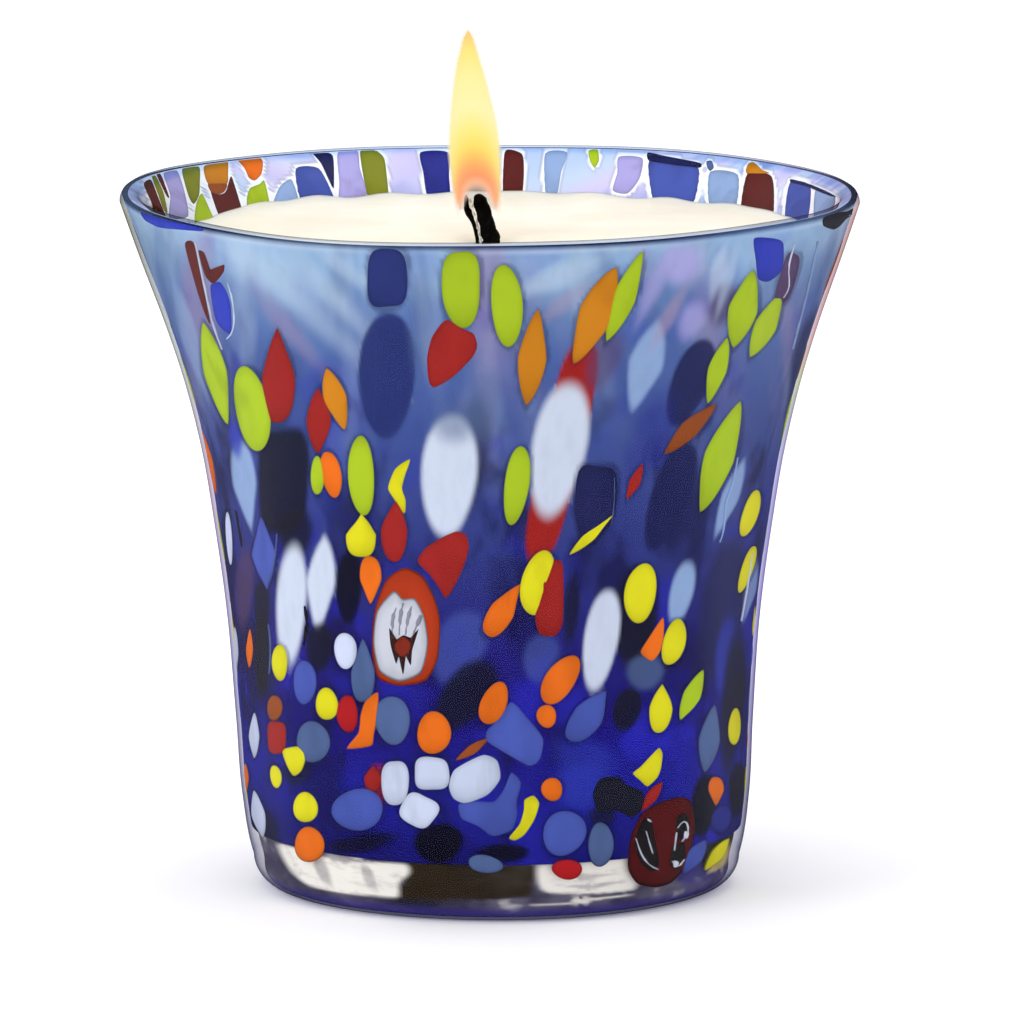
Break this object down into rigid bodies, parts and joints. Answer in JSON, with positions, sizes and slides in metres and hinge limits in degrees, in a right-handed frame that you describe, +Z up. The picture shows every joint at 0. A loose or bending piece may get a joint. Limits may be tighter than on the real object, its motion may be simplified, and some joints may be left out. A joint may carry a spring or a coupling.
{
  "type": "poured candle in blown glass tumbler",
  "caption": "Poured wax candle with a lit wick, in a flared hand-blown tumbler of blue cased glass with coloured glass chips and a thick clear base.",
  "frame": {"origin": "centre of the foot, on the surface that the tumbler stands on", "axes": "+Z up through the flame, -Y towards the front with the star murrina, +X to the right seen from the front"},
  "size_m": [0.0954, 0.0954, 0.113],
  "materials": {
    "clear_glass": "fire-polished clear glass",
    "colour_glass": "fire-polished cobalt and opal blue glass",
    "glass_dark": "fire-polished opaque coloured glass",
    "glass_lime": "fire-polished opaque coloured glass",
    "glass_maroon": "fire-polished opaque coloured glass",
    "glass_navy": "fire-polished opaque coloured glass",
    "glass_ochre": "fire-polished opaque coloured glass",
    "glass_orange": "fire-polished opaque coloured glass",
    "glass_periwinkle": "fire-polished opaque coloured glass",
    "glass_red": "fire-polished opaque coloured glass",
    "glass_slate": "fire-polished opaque coloured glass",
    "glass_white": "fire-polished opaque coloured glass",
    "glass_yellow": "fire-polished opaque coloured glass",
    "cream_wax": "smooth set wax, slightly translucent",
    "tinplate": "bright pressed tinplate",
    "adhesive": "soft matt glue pad",
    "waxed_cotton": "waxed braided cotton",
    "core_thread": "pale twisted thread",
    "charred_cotton": "matt charred cotton",
    "flame_outer": "glowing gas, soft edged",
    "flame_inner": "glowing gas"
  },
  "bodies": {
    "glass": {"glass_cup": "clear_glass", "colour_casing": "colour_glass", "chip_dark_1": "glass_dark", "chip_dark_2": "glass_dark", "chip_lime_1": "glass_lime", "chip_lime_2": "glass_lime", "chip_lime_3": "glass_lime", "chip_lime_4": "glass_lime", "chip_lime_5": "glass_lime", "chip_lime_6": "glass_lime", "chip_lime_7": "glass_lime", "chip_lime_8": "glass_lime", "chip_lime_9": "glass_lime", "chip_maroon_1": "glass_maroon", "chip_navy_1": "glass_navy", "chip_navy_2": "glass_navy", "chip_navy_3": "glass_navy", "chip_navy_4": "glass_navy", "chip_navy_5": "glass_navy", "chip_ochre_1": "glass_ochre", "chip_ochre_2": "glass_ochre", "chip_ochre_3": "glass_ochre", "chip_orange_1": "glass_orange", "chip_orange_2": "glass_orange", "chip_periwinkle_1": "glass_periwinkle", "chip_periwinkle_2": "glass_periwinkle", "chip_periwinkle_3": "glass_periwinkle", "chip_periwinkle_4": "glass_periwinkle", "chip_red_1": "glass_red", "chip_red_2": "glass_red", "chip_red_3": "glass_red", "chip_red_4": "glass_red", "chip_red_5": "glass_red", "chip_red_6": "glass_red", "chip_slate_1": "glass_slate", "chip_white_1": "glass_white", "chip_white_2": "glass_white", "chip_white_3": "glass_white", "chip_white_4": "glass_white", "chip_white_5": "glass_white", "chip_white_6": "glass_white", "chip_white_7": "glass_white", "chip_white_8": "glass_white", "chip_white_9": "glass_white", "chip_yellow_1": "glass_yellow", "chip_yellow_2": "glass_yellow", "chip_yellow_3": "glass_yellow", "chip_yellow_4": "glass_yellow", "red_murrina": "glass_maroon", "star_murrina": "glass_white"},
    "candle": {"wax_fill": "cream_wax", "wick_sustainer": "tinplate", "adhesive_pad": "adhesive", "wick_braid": "waxed_cotton", "wick_core": "waxed_cotton"},
    "wick_tip": {"wick_strand_thick": "charred_cotton", "wick_strand_thin": "charred_cotton", "wick_core_tip": "core_thread"},
    "flame": {"flame_mantle": "flame_outer", "flame_body": "flame_inner"}
  },
  "joints": [
    {"name": "candle_lift", "type": "slide", "parent": "glass", "child": "candle", "axis": [0, 0, 1], "range_m": [0, 0.085]},
    {"name": "wick_bend", "type": "hinge", "parent": "candle", "child": "wick_tip", "pos_m": [0, 0, 0.0838], "axis": [0, 1, 0], "range_deg": [-20, 30]},
    {"name": "flame_sway", "type": "hinge", "parent": "wick_tip", "child": "flame", "pos_m": [-0.0019, 0, 0.0909], "axis": [0, 1, 0], "range_deg": [-10, 10], "stiffness_Nm_per_rad": 0.0008}
  ]
}
